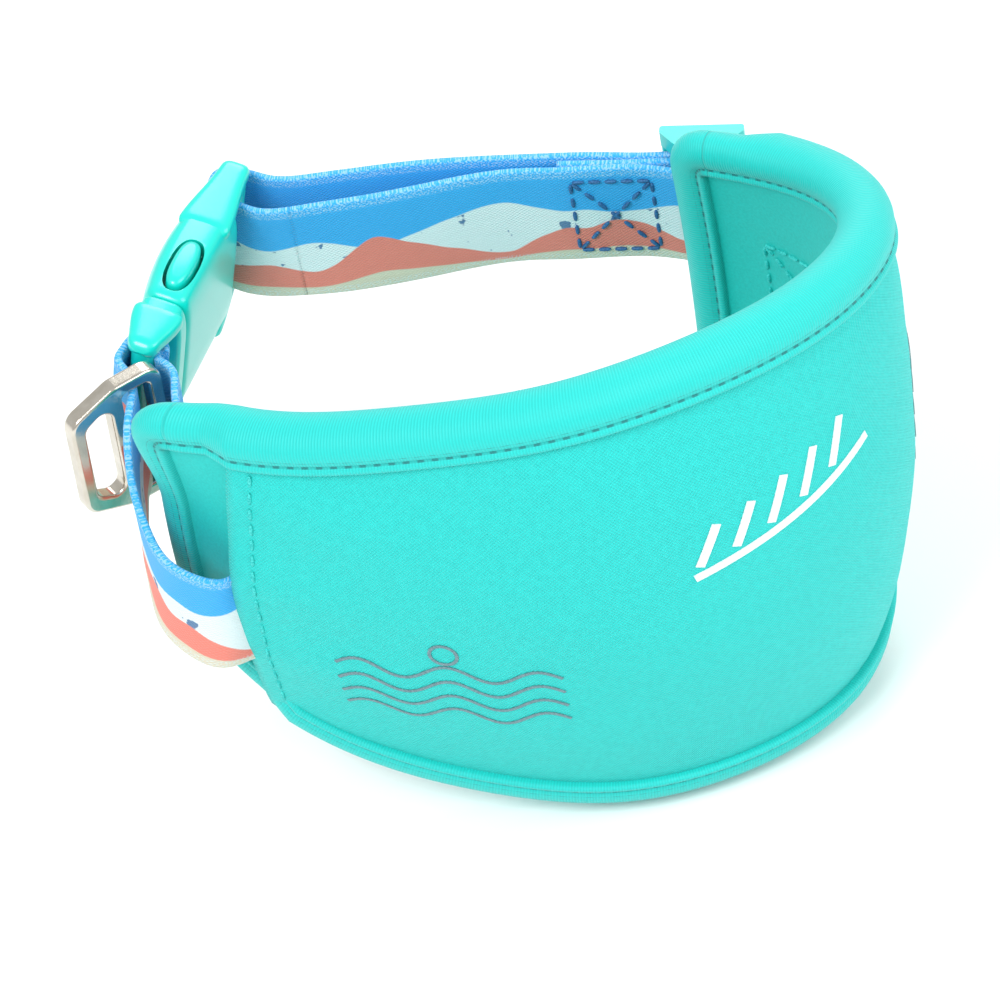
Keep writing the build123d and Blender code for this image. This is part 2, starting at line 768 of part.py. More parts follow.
with BuildPart() as thread_seam_right:
    add(stitch_rows(seam_rows(1), cover_face))

BOX_FROM, BOX_TO = SEAM - 13, SEAM + 3
BOX_LOW, BOX_HIGH = TUNNEL_HIGH - 7.5, TUNNEL_HIGH + 7.5
box_corners = [(BOX_FROM, BOX_LOW), (BOX_TO, BOX_LOW), (BOX_TO, BOX_HIGH), (BOX_FROM, BOX_HIGH)]
box_rows = [(box_corners[i], box_corners[(i + 1) % 4], 4) for i in range(4)]
box_rows.append(((BOX_FROM + 2, BOX_LOW + 2), (BOX_TO - 2, BOX_HIGH - 2), 4))

with BuildPart() as thread_pad_box:
    add(stitch_rows(box_rows, lining_face))

# Box and cross through both layers of the strap's sewn end, on its inner face
CROSS_FROM, CROSS_TO = SEWN_END - 15, SEWN_END - 2
CROSS_H = 7.5
cross_corners = [(CROSS_FROM, -CROSS_H), (CROSS_TO, -CROSS_H), (CROSS_TO, CROSS_H), (CROSS_FROM, CROSS_H)]
cross_rows = [(cross_corners[i], cross_corners[(i + 1) % 4], 4) for i in range(4)]
cross_rows.append(((CROSS_FROM + 2, -CROSS_H + 2), (CROSS_TO - 2, CROSS_H - 2), 4))
strap_face = Plane(slider.origin, x_dir=slider.x_dir, z_dir=slider.z_dir).offset(
    FAR_LAYER - WEBBING_T / 2 - STITCH_T - 0.1
)

with BuildPart() as thread_strap_box:
    for start, end, count in cross_rows:
        angle = Vector(1, 0, 0).get_signed_angle(Vector(end[0] - start[0], end[1] - start[1], 0))
        with BuildSketch(strap_face):
            with Locations(even_points(start, end, count)):
                Rectangle(STITCH_L, STITCH_W, rotation=angle)
        extrude(amount=STITCH_T)

# ---------------------------------------------------------------------------
# Reflective prints on the cover panel: plain patches of film
# ---------------------------------------------------------------------------


def film_sections(s_from, s_to, h_from, h_to, steps):
    """Sections of a thin patch on the cover's face between two stations."""
    sections = []
    for i in range(steps + 1):
        s = s_from + (s_to - s_from) * i / steps
        middle = (h_from + h_to) / 2
        with BuildSketch(station(s)) as section:
            with BuildLine():
                near = ThreePointArc(*[skin(s, cover_face(s, h), h) for h in (h_from, middle, h_to)])
                far = ThreePointArc(*[skin(s, cover_face(s, h) + FILM_T, h) for h in (h_from, middle, h_to)])
                Line(near @ 0, far @ 0)
                Line(near @ 1, far @ 1)
            make_face()
        sections.append(section.sketch)
    return sections


with BuildPart() as reflective_left:
    loft(sections=film_sections(-66, -30, -34, -12, 4))

with BuildPart() as reflective_centre:
    loft(sections=film_sections(-8, 26, 0, 16, 4))

with BuildPart() as reflective_right:
    loft(sections=film_sections(44, 66, -28, 6, 3))

# ---------------------------------------------------------------------------
# Write one file for each piece
# ---------------------------------------------------------------------------
pieces = {
    "neck_pad": neck_pad,
    "pad_lining": pad_lining,
    "cover_panel": cover_panel,
    "binding_top": binding_top,
    "binding_bottom": binding_bottom,
    "binding_left_end": binding_left_end,
    "binding_right_end": binding_right_end,
    "strap_tunnel_run": strap_tunnel_run,
    "strap_bow": strap_bow,
    "strap_male_outer": strap_male_outer,
    "strap_male_loop": strap_male_loop,
    "strap_male_inner": strap_male_inner,
    "strap_right_lead": strap_right_lead,
    "strap_back_outer": strap_back_outer,
    "strap_female_loop": strap_female_loop,
    "strap_back_inner": strap_back_inner,
    "strap_sewn_end": strap_sewn_end,
    "buckle_female": buckle_female,
    "buckle_male": buckle_male,
    "prong_upper": prong_upper,
    "prong_lower": prong_lower,
    "tri_glide": tri_glide,
    "d_ring": d_ring,
    "thread_seam_left": thread_seam_left,
    "thread_seam_right": thread_seam_right,
    "thread_pad_box": thread_pad_box,
    "thread_strap_box": thread_strap_box,
    "reflective_left": reflective_left,
    "reflective_centre": reflective_centre,
    "reflective_right": reflective_right,
}
for name, piece in pieces.items():
    piece.part.label = name
    export_step(piece.part, f"parts/{name}.step")

# Places that the record states, in metres
whole = Compound([piece.part for piece in pieces.values()]).bounding_box()
print("box", whole.min, whole.max)


def report(name, point):
    print(name, [round(v / 1000, 5) for v in point])


report("ring pivot", (RING_PIVOT[0] - CENTRE_X, RING_PIVOT[1] - CENTRE_Y, STRAP_LEVEL))
for side, name in ((1, "upper hinge"), (-1, "lower hinge")):
    hinge = buckle.from_local_coords((PRONG_HINGE[0], side * PRONG_HINGE[1], 0))
    report(name, tuple(hinge))
print("buckle normal", buckle.z_dir, "slider axis", slider.x_dir)
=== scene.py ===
import math

import bmesh
import bpy
import numpy as np
from mathutils import Matrix, Vector


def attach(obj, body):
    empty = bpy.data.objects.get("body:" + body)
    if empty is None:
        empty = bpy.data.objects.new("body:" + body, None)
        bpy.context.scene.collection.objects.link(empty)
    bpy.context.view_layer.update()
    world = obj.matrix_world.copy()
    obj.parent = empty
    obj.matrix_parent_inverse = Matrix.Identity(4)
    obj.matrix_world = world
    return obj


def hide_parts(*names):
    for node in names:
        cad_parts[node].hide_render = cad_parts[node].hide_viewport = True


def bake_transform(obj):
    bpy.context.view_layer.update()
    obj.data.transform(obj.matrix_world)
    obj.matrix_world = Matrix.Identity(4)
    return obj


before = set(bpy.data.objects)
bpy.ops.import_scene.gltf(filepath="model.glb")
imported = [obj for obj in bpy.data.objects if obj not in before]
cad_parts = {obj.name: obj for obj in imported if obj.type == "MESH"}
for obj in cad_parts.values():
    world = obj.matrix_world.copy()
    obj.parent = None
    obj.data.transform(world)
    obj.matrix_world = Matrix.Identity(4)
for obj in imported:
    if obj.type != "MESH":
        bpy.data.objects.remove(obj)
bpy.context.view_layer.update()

# The neck line's own coordinates, in millimetres, to the row frame, in metres
SHIFT = np.array([1.89, -1.065, 59.802])
UV_UNIT = 10  # millimetres of cloth to one unit of UV
INSET = 4.0  # how far inside the panel's edge its layers end
TALL = 40  # rows of faces down a layer
WEB_HALF_WIDTH = 10.0
WEB_HALF_THICK = 0.65
WEB_EDGE = 0.55  # radius of the webbing's edges
STITCH_SHARE = 0.74  # a stitch's length as a share of its pitch


def place(points):
    return (np.asarray(points, float) + SHIFT) * 0.001


def unit(v):
    v = np.asarray(v, float)
    return v / np.linalg.norm(v, axis=-1, keepdims=True)


def smooth(x):
    x = np.clip(x, 0, 1)
    return x * x * (3 - 2 * x)


def heading(angle):
    a = math.radians(angle)
    return np.array([math.cos(a), math.sin(a)])


class Curve:
    """Smooth curve through points, with its two end directions given."""

    def __init__(self, points, start, end):
        self.p = np.asarray(points, float)
        self.d = np.linalg.norm(np.diff(self.p, axis=0), axis=1)
        self.t = np.concatenate([[0], np.cumsum(self.d)])
        n = len(self.p)
        a = np.zeros((n, n))
        b = np.zeros_like(self.p)
        a[0, 0] = a[-1, -1] = 1
        b[0], b[-1] = unit(start), unit(end)
        for i in range(1, n - 1):
            h0, h1 = self.d[i - 1], self.d[i]
            a[i, i - 1 : i + 2] = 1 / h0, 2 / h0 + 2 / h1, 1 / h1
            b[i] = 3 * ((self.p[i] - self.p[i - 1]) / h0**2 + (self.p[i + 1] - self.p[i]) / h1**2)
        self.m = np.linalg.solve(a, b)
        self.fine = np.linspace(0, self.t[-1], 60 * n)
        x = self.raw(self.fine)
        steps = np.linalg.norm(np.diff(x, axis=0), axis=1)
        self.run = np.concatenate([[0], np.cumsum(steps)])
        self.length = self.run[-1]

    def raw(self, u):
        i = np.clip(np.searchsorted(self.t, u, side="right") - 1, 0, len(self.d) - 1)
        h = self.d[i][:, None]
        w = ((u - self.t[i]) / self.d[i])[:, None]
        p0, p1, m0, m1 = self.p[i], self.p[i + 1], self.m[i] * h, self.m[i + 1] * h
        return (
            (2 * w**3 - 3 * w**2 + 1) * p0
            + (w**3 - 2 * w**2 + w) * m0
            + (3 * w**2 - 2 * w**3) * p1
            + (w**3 - w**2) * m1
        )

    def at(self, distance):
        return self.raw(np.interp(np.atleast_1d(distance), self.run, self.fine))

    def even(self, step):
        n = max(int(self.length / step), 2)
        return self.at(np.linspace(0, self.length, n + 1))


# ---------------------------------------------------------------------------
# The padded panel's shape
# ---------------------------------------------------------------------------
neck = Curve(
    [
        (-55.3, -17.6),
        (-40.0, -29.4),
        (-11.5, -38.9),
        (12.1, -42.2),
        (36.2, -36.2),
        (55.1, -20.3),
        (61.1, 2.4),
        (53.1, 21.5),
        (42.4, 30.5),
        (29.1, 36.1),
    ],
    heading(-50.7),
    heading(164.7),
)
HALF = neck.length / 2
SEAM = 79.0


def along_out(s):
    a, b = neck.at(s + HALF - 0.2), neck.at(s + HALF + 0.2)
    t = unit(b - a)
    return t, np.stack([t[:, 1], -t[:, 0]], axis=1)


def wave(s):
    return 0.5 + 0.5 * np.cos(np.pi * np.minimum(np.abs(s) / HALF, 1))


def top_of(s):
    return 24.4 + 14.7 * wave(s)


def bottom_of(s):
    return -26.7 - 33.0 * (1 - np.minimum(np.abs(s) / HALF, 1) ** 3.2)


def on_panel(s, c, h):
    """Places on the panel: s along it, c outwards and h up, all arrays of one length."""
    s, c, h = (np.asarray(v, float) for v in np.broadcast_arrays(s, c, h))
    shape = s.shape
    s, c, h = s.ravel(), c.ravel(), h.ravel()
    n = c + 0.028 * wave(s) * h - 0.0025 * ((h + 4.0) ** 2 - 16.0)
    n = n + 5.0 * smooth((-s - 80) / 18) * smooth((h - 1) / 22)
    n = n + np.exp(-(((s - 56) / 22) ** 2)) * (3.0 * smooth((h - 2) / 26) - 1.0 * smooth((6 - h) / 20))
    p = neck.at(s + HALF) + along_out(s)[1] * n[:, None]
    return np.column_stack([p, h]).reshape(shape + (3,))


def pad_outer(s):
    return -1.3 - 0.6 * np.clip((np.abs(s) - SEAM) / 12, 0, 1)


def cover_face(s, h):
    top, bottom = top_of(s) - INSET, bottom_of(s) + INSET
    reach = (h - (top + bottom) / 2) / ((top - bottom) / 2)
    return 2.8 - 2.4 * reach**2


# ---------------------------------------------------------------------------
# Mesh helpers
# ---------------------------------------------------------------------------
def make_object(name, verts, faces, uvs, material):
    mesh = bpy.data.meshes.new(name)
    mesh.from_pydata([tuple(v) for v in verts], [], faces)
    uv_map = mesh.uv_layers.new(name="UVMap")
    loops = np.zeros(len(mesh.loops), int)
    mesh.loops.foreach_get("vertex_index", loops)
    uv_map.data.foreach_set("uv", np.asarray(uvs, float)[loops].ravel())
    mesh.polygons.foreach_set("use_smooth", [True] * len(mesh.polygons))
    mesh.materials.append(material)
    obj = bpy.data.objects.new(name, mesh)
    bpy.context.scene.collection.objects.link(obj)
    return obj


def tube(name, rings, material, uv=None):
    """Closed skin over rings (rows, points, 3), given in millimetres."""
    rows, count = rings.shape[:2]
    verts = place(rings.reshape(-1, 3))
    faces = []
    for i in range(rows - 1):
        for j in range(count):
            k = (j + 1) % count
            faces.append((i * count + j, i * count + k, (i + 1) * count + k, (i + 1) * count + j))
    faces.append(tuple(range(count))[::-1])
    faces.append(tuple((rows - 1) * count + j for j in range(count)))
    if uv is None:
        uv = np.zeros((rows, count, 2))
    obj = make_object(name, verts, faces, uv.reshape(-1, 2), material)
    outward(obj)
    return obj


def outward(obj):
    """Turns the skin's faces to point outwards."""
    work = bmesh.new()
    work.from_mesh(obj.data)
    bmesh.ops.recalc_face_normals(work, faces=work.faces)
    work.to_mesh(obj.data)
    work.free()


def rounded_section(half_t, half_w, radius):
    """Rounded rectangle as (outwards, up) points, with each broad side in a few steps."""
    points, across = [], 8
    corners = [(1, 1, 0), (-1, 1, 90), (-1, -1, 180), (1, -1, 270)]
    for sx, sy, start in corners:
        for k in range(4):
            a = math.radians(start + 30 * k)
            x = sx * (half_t - radius) + radius * math.cos(a)
            y = sy * (half_w - radius) + radius * math.sin(a)
            points.append((x, y))
        if sx * sy < 0:
            for k in range(1, across):
                points.append((sx * half_t, sy * (half_w - radius) * (1 - 2 * k / across)))
    return np.array(points)


def ribbon(name, centre, up, material, start=0.0):
    """Strap along centre, its edges up and down. start is how far along the webbing it begins."""
    t = unit(np.gradient(centre, axis=0))
    out = unit(np.cross(t, up))
    up = np.cross(out, t)
    section = rounded_section(WEB_HALF_THICK, WEB_HALF_WIDTH, WEB_EDGE)
    rings = centre[:, None] + out[:, None] * section[None, :, :1] + up[:, None] * section[None, :, 1:]
    run = np.concatenate([[0], np.cumsum(np.linalg.norm(np.diff(centre, axis=0), axis=1))])
    uv = np.zeros(rings.shape[:2] + (2,))
    uv[..., 0] = (start + run[:, None]) / UV_UNIT
    uv[..., 1] = section[None, :, 1] / UV_UNIT
    return tube(name, rings, material, uv)


# ---------------------------------------------------------------------------
# Materials
# ---------------------------------------------------------------------------
class Paint:
    """One procedural material, built node by node."""

    def __init__(self, name, color, roughness=0.6, **sockets):
        self.material = bpy.data.materials.new(name)
        self.material.use_nodes = True
        self.tree = self.material.node_tree
        self.shader = self.tree.nodes["Principled BSDF"]
        self.shader.inputs["Base Color"].default_value = (*color, 1)
        self.shader.inputs["Roughness"].default_value = roughness
        for key, value in sockets.items():
            self.shader.inputs[key.replace("_", " ")].default_value = value
        self.height = None

    def node(self, kind, **inputs):
        n = self.tree.nodes.new(kind)
        for key, value in inputs.items():
            n.inputs[key.replace("_", " ")].default_value = value
        return n

    def link(self, a, b):
        self.tree.links.new(a, b)

    def coord(self, kind="Object"):
        return self.node("ShaderNodeTexCoord").outputs[kind]

    def math(self, op, a, b=0.0, c=None):
        n = self.tree.nodes.new("ShaderNodeMath")
        n.operation = op
        for i, v in enumerate((a, b) if c is None else (a, b, c)):
            if hasattr(v, "links"):
                self.link(v, n.inputs[i])
            else:
                n.inputs[i].default_value = v
        return n.outputs[0]

    def noise(self, scale, detail=2.0, coord=None):
        n = self.node("ShaderNodeTexNoise", Scale=scale, Detail=detail)
        self.link(coord or self.coord(), n.inputs["Vector"])
        return n.outputs["Fac"]

    def uv(self):
        n = self.tree.nodes.new("ShaderNodeSeparateXYZ")
        self.link(self.coord("UV"), n.inputs[0])
        return n.outputs[0], n.outputs[1]

    def mix(self, factor, a, b):
        n = self.tree.nodes.new("ShaderNodeMix")
        n.data_type = "RGBA"
        for socket, v in ((n.inputs[0], factor), (n.inputs[6], a), (n.inputs[7], b)):
            if hasattr(v, "links"):
                self.link(v, socket)
            else:
                socket.default_value = (*v, 1) if isinstance(v, tuple) else v
        return n.outputs[2]

    def ramp(self, value, low, high):
        n = self.tree.nodes.new("ShaderNodeMapRange")
        n.interpolation_type = "SMOOTHSTEP"
        self.link(value, n.inputs["Value"])
        n.inputs["From Min"].default_value = low
        n.inputs["From Max"].default_value = high
        return n.outputs["Result"]

    def color(self, socket):
        self.link(socket, self.shader.inputs["Base Color"])

    def bump(self, height, distance, strength=1.0):
        n = self.node("ShaderNodeBump", Strength=strength, Distance=distance)
        self.link(height, n.inputs["Height"])
        if self.height is not None:
            self.link(self.height, n.inputs["Normal"])
        self.height = n.outputs[0]
        self.link(self.height, self.shader.inputs["Normal"])


def weave(paint, scale_u, scale_v, distance):
    """Threads across and along the cloth, as a small relief."""
    u, v = paint.uv()
    a = paint.math("SINE", paint.math("MULTIPLY", u, scale_u))
    b = paint.math("SINE", paint.math("MULTIPLY", v, scale_v))
    both = paint.math("MULTIPLY", a, b)
    paint.bump(both, distance)
    return both


def neoprene_paint():
    p = Paint("neoprene", (0.003, 0.56, 0.5), 0.62, Sheen_Weight=0.08)
    grain = p.noise(2600, 3)
    p.color(p.mix(p.ramp(grain, 0.3, 0.7), (0.0, 0.47, 0.43), (0.003, 0.53, 0.49)))
    p.bump(grain, 0.00008, 0.5)
    return p.material


def cover_paint():
    p = Paint("cover", (0.003, 0.58, 0.53), 0.7, Sheen_Weight=0.08)
    threads = weave(p, 95, 95, 0.00006)
    grain = p.noise(900, 4)
    base = p.mix(p.ramp(grain, 0.32, 0.68), (0.0, 0.47, 0.44), (0.003, 0.55, 0.51))
    p.color(p.mix(p.ramp(threads, -0.9, 0.9), base, (0.005, 0.58, 0.54)))
    p.bump(p.noise(90, 3), 0.0004, 0.4)
    return p.material


def binding_paint():
    p = Paint("binding", (0.005, 0.58, 0.54), 0.6, Sheen_Weight=0.1)
    u, v = p.uv()
    ribs = p.math("SINE", p.math("MULTIPLY", u, 120.0))
    p.bump(ribs, 0.00003)
    grain = p.noise(700, 3)
    base = p.mix(p.ramp(ribs, -1, 1), (0.001, 0.5, 0.46), (0.005, 0.57, 0.53))
    base = p.mix(p.math("MULTIPLY", grain, 0.2), base, (0.01, 0.6, 0.56))
    # Painted shade: a dark row along the tape's stitching, darkest in each stitch hole
    pitch = p.math("SINE", p.math("MULTIPLY", u, 26.0))
    row = p.math("COMPARE", v, 0.0, 0.022)
    stitch_shade = p.math("MULTIPLY", p.math("MULTIPLY_ADD", p.ramp(pitch, -0.3, 0.5), 0.5, 0.3), row)
    p.color(p.mix(stitch_shade, base, (0.0, 0.11, 0.12)))
    return p.material


def webbing_paint():
    """Woven strap with a plain print of wavy stripes: blue, white, coral and beige, from the top down."""
    p = Paint("webbing", (0.02, 0.42, 0.7), 0.68, Sheen_Weight=0.08)
    u, v = p.uv()
    combine = p.tree.nodes.new("ShaderNodeCombineXYZ")
    p.link(u, combine.inputs[0])
    drift = p.noise(0.42, 1.5, combine.outputs[0])
    swing = p.math("SUBTRACT", drift, 0.5)
    sky, white, slate = (0.003, 0.36, 0.78), (0.66, 0.76, 0.78), (0.06, 0.17, 0.33)
    coral, beige = (0.74, 0.19, 0.14), (0.62, 0.58, 0.44)
    line = p.math("ADD", v, p.math("MULTIPLY", swing, 1.6))
    color = p.mix(p.ramp(line, 0.1, 0.13), white, sky)
    patch = p.noise(3.2, 3, p.coord("UV"))
    color = p.mix(
        p.math("MULTIPLY", p.ramp(patch, 0.62, 0.66), p.ramp(line, 0.12, 0.08)), color, slate
    )
    hills = p.math("ADD", v, p.math("MULTIPLY", swing, -3.0))
    color = p.mix(p.ramp(hills, -0.26, -0.29), color, coral)
    low = p.math("ADD", v, p.math("MULTIPLY", swing, -0.8))
    color = p.mix(p.ramp(low, -0.74, -0.77), color, beige)
    # Painted highlight: pale specks along both edges of the webbing, where light catches them
    edge = p.math("ABSOLUTE", v)
    edge_highlight = p.math("MULTIPLY", p.ramp(p.noise(30, 2, p.coord("UV")), 0.48, 0.56), p.ramp(edge, 0.8, 0.86))
    color = p.mix(p.math("MULTIPLY", edge_highlight, 0.4), color, (0.6, 0.78, 0.85))
    threads = p.math(
        "MULTIPLY",
        p.math("SINE", p.math("MULTIPLY", u, 80.0)),
        p.math("SINE", p.math("MULTIPLY", v, 110.0)),
    )
    p.color(p.mix(p.math("MULTIPLY", p.ramp(threads, -1, 1), 0.06), color, (0.75, 0.8, 0.82)))
    p.bump(threads, 0.00005)
    return p.material


def plastic_paint(name, color, roughness):
    p = Paint(name, color, roughness, Coat_Weight=0.35, Coat_Roughness=0.12)
    p.shader.inputs["IOR"].default_value = 1.5
    fog = p.noise(160, 2)
    p.color(p.mix(p.math("MULTIPLY", fog, 0.16), color, tuple(min(c * 1.25 + 0.02, 1) for c in color)))
    p.bump(p.noise(1800, 2), 0.00002, 0.4)
    return p.material


def ring_paint():
    p = Paint("ring", (0.62, 0.585, 0.50), 0.2, Metallic=1.0)
    cloud = p.noise(240, 3)
    p.color(p.mix(p.ramp(cloud, 0.3, 0.7), (0.56, 0.52, 0.44), (0.68, 0.645, 0.57)))
    p.bump(p.noise(1500, 2), 0.00002, 0.5)
    return p.material


def thread_paint(name, low, high):
    p = Paint(name, high, 0.6)
    twist = p.noise(3500, 2)
    p.color(p.mix(p.ramp(twist, 0.35, 0.65), low, high))
    return p.material


def film_paint(name, low, high):
    p = Paint(name, high, 0.42, Metallic=0.15)
    grain = p.noise(2400, 2)
    p.color(p.mix(p.ramp(grain, 0.35, 0.65), low, high))
    p.bump(grain, 0.00003, 0.5)
    return p.material


def floor_paint():
    return Paint("floor", (0.9, 0.9, 0.9), 0.8).material


neoprene = neoprene_paint()
cover_cloth = cover_paint()
binding_cloth = binding_paint()
webbing = webbing_paint()
buckle_plastic = plastic_paint("buckle", (0.002, 0.62, 0.53), 0.28)
slider_plastic = plastic_paint("slider", (0.001, 0.52, 0.47), 0.38)
nickel = ring_paint()
thread = thread_paint("thread", (0.0, 0.42, 0.4), (0.05, 0.62, 0.58))
blue_thread = thread_paint("thread_blue", (0.01, 0.08, 0.22), (0.03, 0.15, 0.34))
white_film = film_paint("reflective_white", (0.62, 0.72, 0.74), (0.8, 0.86, 0.87))
grey_film = film_paint("reflective_grey", (0.1, 0.2, 0.23), (0.15, 0.26, 0.29))

# ---------------------------------------------------------------------------
# Pad, lining and cover
# ---------------------------------------------------------------------------
def layer(name, last, inner, outer, material, slant=0.0):
    """One layer of the panel, out to last each way along it.

    inner and outer give its faces at (s, h). slant moves its lower left edge outwards.
    """
    step = 1.6
    s = np.linspace(-last, last, int(2 * last / step) + 1)[:, None]
    w = np.linspace(0, 1, TALL + 1)[None, :]
    top, bottom = top_of(s) - INSET, bottom_of(s) + INSET
    h = top + (bottom - top) * w
    s = s - slant * (0.35 + w) * smooth((-s - 55) / 24)
    front = on_panel(s + 0 * h, outer(s, h), h)
    back = on_panel(s + 0 * h, inner(s, h), h)
    rings = np.concatenate([front, back[:, ::-1]], axis=1)
    uv = np.zeros(rings.shape[:2] + (2,))
    s = s + 0 * h
    uv[..., 0] = np.concatenate([s, s[:, ::-1]], axis=1) / UV_UNIT
    uv[..., 1] = np.concatenate([h, h[:, ::-1]], axis=1) / UV_UNIT
    return tube(name, rings, material, uv)


pad = layer(
    "pad_foam", HALF - INSET, lambda s, h: -4.4 + 0 * h, lambda s, h: pad_outer(s) + 0 * h, neoprene
)


def settle(obj, limit):
    """Lets the pad puff up as cloth held at its rim, each point kept within limit (m) of where it was."""
    pressure, frames = 3.0, 12
    mesh = obj.data
    before = np.zeros(len(mesh.vertices) * 3)
    mesh.vertices.foreach_get("co", before)
    before = before.reshape(-1, 3)
    count = 2 * (TALL + 1)
    column = np.arange(len(before)) % count
    row = np.arange(len(before)) // count
    fold = (TALL - 1, TALL, TALL + 1, TALL + 2)
    rim = np.isin(column, (0, 1, *fold, count - 2, count - 1)) | (row < 2) | (row > row.max() - 2)
    held = obj.vertex_groups.new(name="held")
    held.add([int(i) for i in np.nonzero(rim)[0]], 1.0, "ADD")
    cloth = obj.modifiers.new("cloth", "CLOTH")
    cloth.settings.vertex_group_mass = "held"
    cloth.settings.use_pressure = True
    cloth.settings.uniform_pressure_force = pressure
    cloth.settings.effector_weights.gravity = 0.0
    cloth.settings.tension_stiffness = 30
    cloth.settings.compression_stiffness = 30
    cloth.settings.bending_stiffness = 5
    cloth.collision_settings.use_collision = False
    cloth.collision_settings.use_self_collision = False
    cloth.settings.quality = 5
    scene = bpy.context.scene
    for f in range(1, frames + 1):
        scene.frame_set(f)
    after_mesh = obj.evaluated_get(bpy.context.evaluated_depsgraph_get()).to_mesh()
    after = np.zeros(len(mesh.vertices) * 3)
    after_mesh.vertices.foreach_get("co", after)
    move = after.reshape(-1, 3) - before
    size = np.maximum(np.linalg.norm(move, axis=1, keepdims=True), 1e-9)
    move = np.nan_to_num(move / size * np.minimum(size, limit))
    obj.modifiers.remove(cloth)
    obj.vertex_groups.remove(held)
    mesh.vertices.foreach_set("co", (before + move).ravel())
    mesh.update()
    scene.frame_set(1)


settle(pad, 0.0006)
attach(pad, "collar")
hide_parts("neck_pad")

lining = layer(
    "lining_cloth", HALF - INSET, lambda s, h: -5.15 + 0 * h, lambda s, h: -4.5 + 0 * h, neoprene
)
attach(lining, "collar")
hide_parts("pad_lining")


def cover_relief(s, h):
    """Soft drapes of the cover, strongest beside the strap's tunnel."""
    near = np.exp(-(((np.abs(s) - 70) / 14) ** 2))
    folds = np.sin(0.35 * h + 0.04 * s) * 0.25 + np.sin(0.19 * h - 0.09 * s + 1.3) * 0.2
    return folds * near + 0.12 * np.sin(0.11 * s + 0.2 * h)


cover = layer(
    "cover_cloth",
    SEAM,
    lambda s, h: cover_face(s, h) - 1.2,
    lambda s, h: cover_face(s, h) + cover_relief(s, h),
    cover_cloth,
    slant=2.6,
)
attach(cover, "collar")
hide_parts("cover_panel")


# ---------------------------------------------------------------------------
# Bindings
# ---------------------------------------------------------------------------
def binding_profile(inside, outside):
    """(c, depth) round the folded tape, depth measured in from the edge, and v across its face."""
    crest, half = (inside + outside) / 2, (outside - inside) / 2
    row = 5.6  # depth of the row of stitches
    hem = ((7.2, -0.5), (7.1, 0.1), (6.7, 0.38), (6.1, 0.34))
    hem += ((5.75, 0.0), (5.5, -0.1), (5.2, 0.12), (4.7, 0.3))
    points = [(outside + lift, depth, (depth - row) / UV_UNIT) for depth, lift in hem]
    for k in range(15):
        a = math.pi * k / 14
        points.append((crest + (half + 0.42) * math.cos(a), 3.6 * (1 - math.sin(a)), 0.5 + k * 0.05))
    points += [(inside - lift, depth, (depth - row) / UV_UNIT) for depth, lift in hem[::-1]]
    return np.array(points)


def faces_at(s):
    """The tape's inner and outer faces: over the cover in the middle, over the bare pad at the ends."""
    tape, covered = 0.7, 1.1
    inside = -5.5 - tape
    blend = np.clip((np.abs(s) - SEAM - 1) / 5, 0, 1)
    outside = covered + (pad_outer(s) + 0.35 - covered) * blend + tape
    return inside, outside


def panel_outline(corner):
    """(s, h) round the panel with rounded corners, from the middle of the top, and where its pieces meet."""
    points, marks = [], []
    reach = HALF - corner

    def edge(start, end, curve):
        for s in np.linspace(start, end, 150)[:-1]:
            points.append((s, curve(s)))

    def bend(end, level, side, first, last):
        for a in np.radians(np.linspace(first, last, 16)):
            points.append((end * reach + corner * math.cos(a), level - side * corner + corner * math.sin(a)))

    edge(0, -reach, top_of)
    marks.append(len(points))
    bend(-1, top_of(reach), 1, 90, 180)
    for h in np.linspace(top_of(HALF) - corner, bottom_of(HALF) + corner, 60)[1:-1]:
        points.append((-HALF, h))
    bend(-1, bottom_of(reach), -1, 180, 270)
    marks.append(len(points))
    edge(-reach, reach, bottom_of)
    marks.append(len(points))
    bend(1, bottom_of(reach), -1, 270, 360)
    for h in np.linspace(bottom_of(HALF) + corner, top_of(HALF) - corner, 60)[1:-1]:
        points.append((HALF, h))
    bend(1, top_of(reach), 1, 0, 90)
    marks.append(len(points))
    edge(reach, 0, top_of)
    return np.array(points), marks


def binding(name, path, inward, run, node):
    """Folded tape along a stretch of the panel's outline."""
    rings, uv = [], []
    for (s, h), (ns, nh), at in zip(path, inward, run):
        inside, outside = faces_at(s)
        profile = binding_profile(inside, outside)
        rings.append(on_panel(s + ns * profile[:, 1], profile[:, 0], h + nh * profile[:, 1]))
        uv.append(np.column_stack([np.full(len(profile), at / UV_UNIT), profile[:, 2]]))
    obj = tube(name, np.array(rings), binding_cloth, np.array(uv))
    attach(obj, "collar")
    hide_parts(node)


def smoothed(values, times):
    """Closed row of values, each averaged with its neighbours a few times."""
    for _ in range(times):
        values = (np.roll(values, 1, 0) + 2 * values + np.roll(values, -1, 0)) / 4
    return values


outline, marks = panel_outline(7.5)
outline = smoothed(outline, 6)
way = unit(np.roll(outline, -1, 0) - np.roll(outline, 1, 0))
inward = smoothed(np.stack([-way[:, 1], way[:, 0]], axis=1), 4)
steps = np.linalg.norm(np.roll(outline, -1, 0) - outline, axis=1)
travel = np.concatenate([[0], np.cumsum(steps)])
whole = len(outline)
order = {
    "tape_top": (np.arange(marks[3], whole + marks[0] + 1), "binding_top"),
    "tape_left_end": (np.arange(marks[0], marks[1] + 1), "binding_left_end"),
    "tape_bottom": (np.arange(marks[1], marks[2] + 1), "binding_bottom"),
    "tape_right_end": (np.arange(marks[2], marks[3] + 1), "binding_right_end"),
}
for name, (picked, node) in order.items():
    laps, on = picked // whole, picked % whole
    binding(name, outline[on], inward[on], travel[on] + travel[-1] * laps, node)

